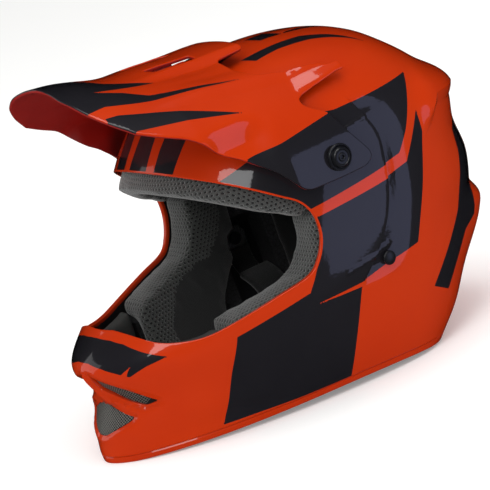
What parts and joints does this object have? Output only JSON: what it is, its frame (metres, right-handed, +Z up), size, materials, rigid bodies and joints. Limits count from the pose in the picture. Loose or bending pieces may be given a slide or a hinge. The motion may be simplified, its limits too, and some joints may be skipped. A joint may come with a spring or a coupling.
{
  "type": "motocross helmet",
  "caption": "Off-road helmet with a long chin bar, a wide open eye port, a hinged peak over the brow, vents, padded foam lining and a chin strap with D-rings.",
  "frame": {"origin": "centre of the bounding box, on the plane of the bottom rim that the helmet stands on", "axes": "+Z up through the crown; -Y is the front, where the face looks out; +X is the wearer's left; X is the tilt axis of the peak"},
  "size_m": [0.2484, 0.3506, 0.2688],
  "materials": {
    "shell_paint": "gloss",
    "peak_paint": "gloss",
    "impact_foam": "matte",
    "lining_fabric": "matte",
    "black_plastic": "satin",
    "steel": "brushed",
    "washer_rubber": "matte",
    "webbing": "matte",
    "vent_mesh": "matte"
  },
  "bodies": {
    "helmet": {"outer_shell": "shell_paint", "eps_crown_liner": "impact_foam", "eps_cheek_block_left": "impact_foam", "eps_cheek_block_right": "impact_foam", "chin_bar_foam": "impact_foam", "cheek_pad_left": "lining_fabric", "cheek_pad_right": "lining_fabric", "brow_pad": "lining_fabric", "crown_pad": "lining_fabric", "side_pad_left": "lining_fabric", "side_pad_right": "lining_fabric", "nape_pad": "lining_fabric", "cheek_stud_left_1": "black_plastic", "cheek_stud_left_2": "black_plastic", "cheek_stud_right_1": "black_plastic", "cheek_stud_right_2": "black_plastic", "chin_vent_mesh_left": "vent_mesh", "chin_vent_mesh_right": "vent_mesh", "chin_vent_mesh_centre": "vent_mesh", "screw_insert_left": "steel", "screw_insert_right": "steel", "screw_insert_top": "steel", "washer_left": "washer_rubber", "washer_right": "washer_rubber", "strap_rivet_left": "black_plastic", "strap_rivet_right": "black_plastic"},
    "peak": {"peak": "peak_paint"},
    "side_screw_left": {"side_screw_left": "black_plastic"},
    "side_screw_right": {"side_screw_right": "black_plastic"},
    "top_screw": {"top_screw": "black_plastic"},
    "chin_strap": {"strap_anchor_left": "steel", "strap_anchor_right": "steel", "strap_buckle_side": "webbing", "strap_free_side": "webbing", "strap_sleeve_left": "lining_fabric", "strap_sleeve_right": "lining_fabric", "strap_stud": "black_plastic", "strap_stud_cap": "black_plastic"},
    "d_ring_lower": {"d_ring_lower": "steel"},
    "d_ring_upper": {"d_ring_upper": "steel"}
  },
  "joints": [
    {"name": "peak_tilt", "type": "hinge", "parent": "helmet", "child": "peak", "pos_m": [0, 0.00715, 0.17], "axis": [-1, 0, 0], "range_deg": [-4, 8]},
    {"name": "side_screw_left_turn", "type": "hinge", "parent": "helmet", "child": "side_screw_left", "pos_m": [0.11, 0.00715, 0.17], "axis": [1, 0, 0], "continuous": true},
    {"name": "side_screw_right_turn", "type": "hinge", "parent": "helmet", "child": "side_screw_right", "pos_m": [-0.11, 0.00715, 0.17], "axis": [-1, 0, 0], "continuous": true},
    {"name": "top_screw_turn", "type": "hinge", "parent": "helmet", "child": "top_screw", "pos_m": [0, 0.00715, 0.17], "axis": [0, -0.342, 0.9397], "continuous": true},
    {"name": "chin_strap_swing", "type": "hinge", "parent": "helmet", "child": "chin_strap", "pos_m": [0, 0.03115, 0.085], "axis": [1, 0, 0], "range_deg": [-6, 8]},
    {"name": "d_ring_lower_swing", "type": "hinge", "parent": "chin_strap", "child": "d_ring_lower", "pos_m": [0.034, 0.03115, 0.012], "axis": [0, 1, 0], "range_deg": [-6, 1]},
    {"name": "d_ring_upper_swing", "type": "hinge", "parent": "chin_strap", "child": "d_ring_upper", "pos_m": [0.034, 0.03115, 0.0148], "axis": [0, 1, 0], "range_deg": [-1, 2]}
  ]
}
